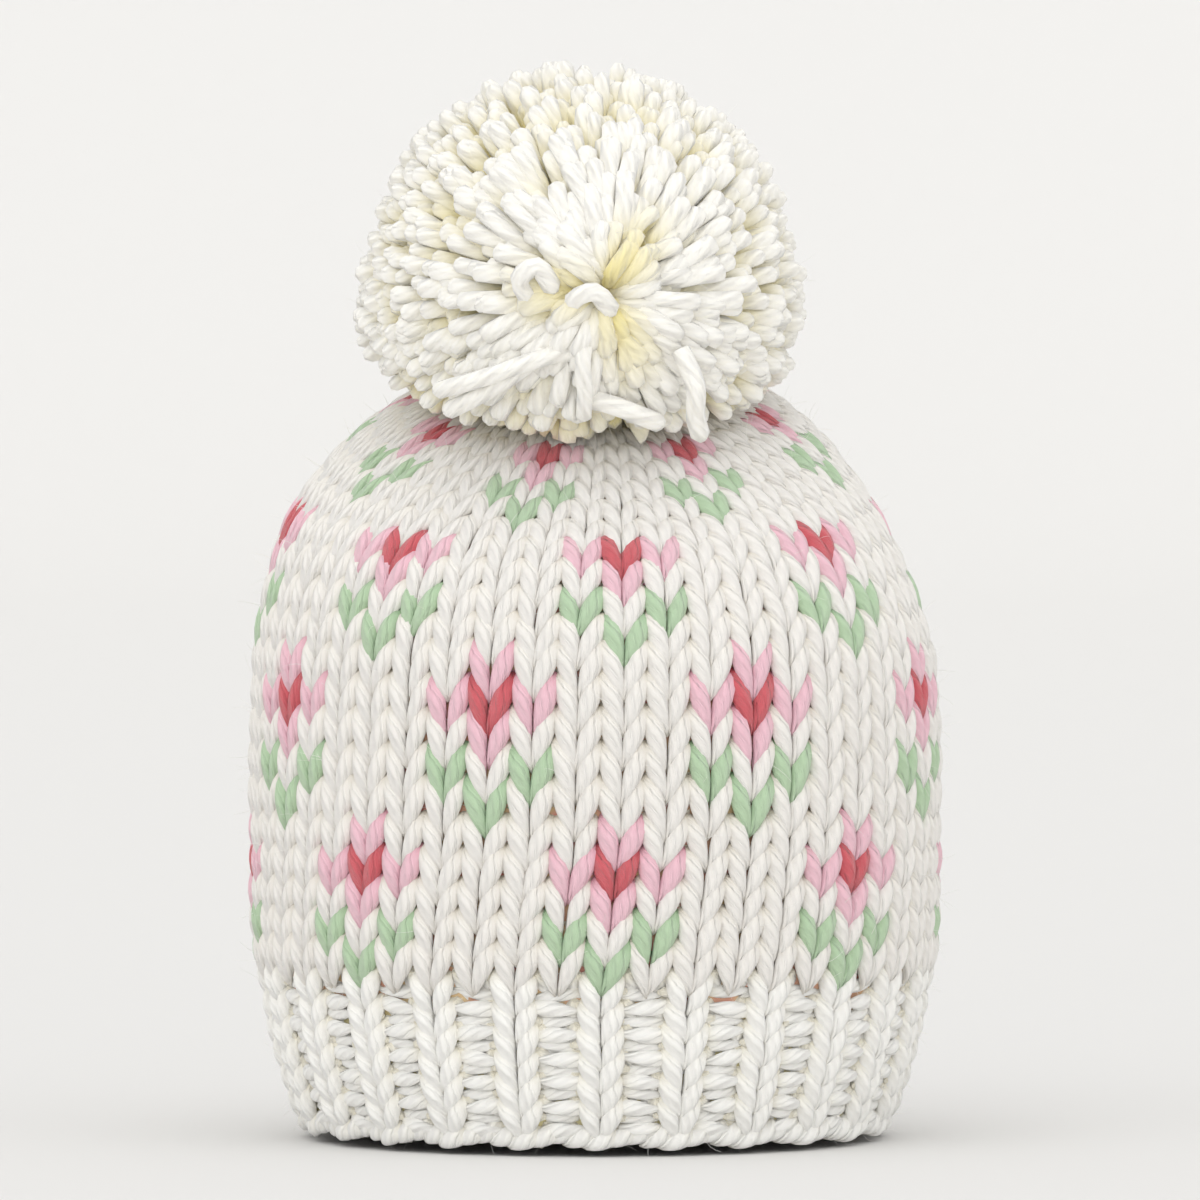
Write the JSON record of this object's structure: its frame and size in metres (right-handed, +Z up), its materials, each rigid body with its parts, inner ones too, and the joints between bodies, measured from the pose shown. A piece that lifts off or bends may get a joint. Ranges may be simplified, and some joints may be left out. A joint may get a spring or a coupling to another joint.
{
  "type": "knitted beanie with pompom",
  "caption": "Round chunky-knit infant beanie with a ribbed brim, flower colourwork on a gathered crown and a fluffy yarn pompom.",
  "frame": {"origin": "middle of the underside of the rim, on the surface that the hat stands on", "axes": "+Z up through the crown and the pompom, -Y is the front that the picture shows, +X is the right side in the picture"},
  "size_m": [0.1413, 0.1414, 0.2197],
  "materials": {
    "rib_yarn": "matt spun acrylic yarn, cream white",
    "body_yarn": "matt spun acrylic yarn, cream white with sage, pink and coral flowers",
    "crown_yarn": "matt spun acrylic yarn, cream white with sage, pink and coral flowers",
    "pompom_yarn": "matt spun acrylic yarn, warm cream, cut ends",
    "tie_yarn": "matt spun acrylic yarn, warm cream"
  },
  "bodies": {
    "root": {"brim_rib": "rib_yarn", "body_knit": "body_yarn", "crown_knit": "crown_yarn", "pompom": "pompom_yarn", "pompom_tie": "tie_yarn"}
  },
  "joints": []
}
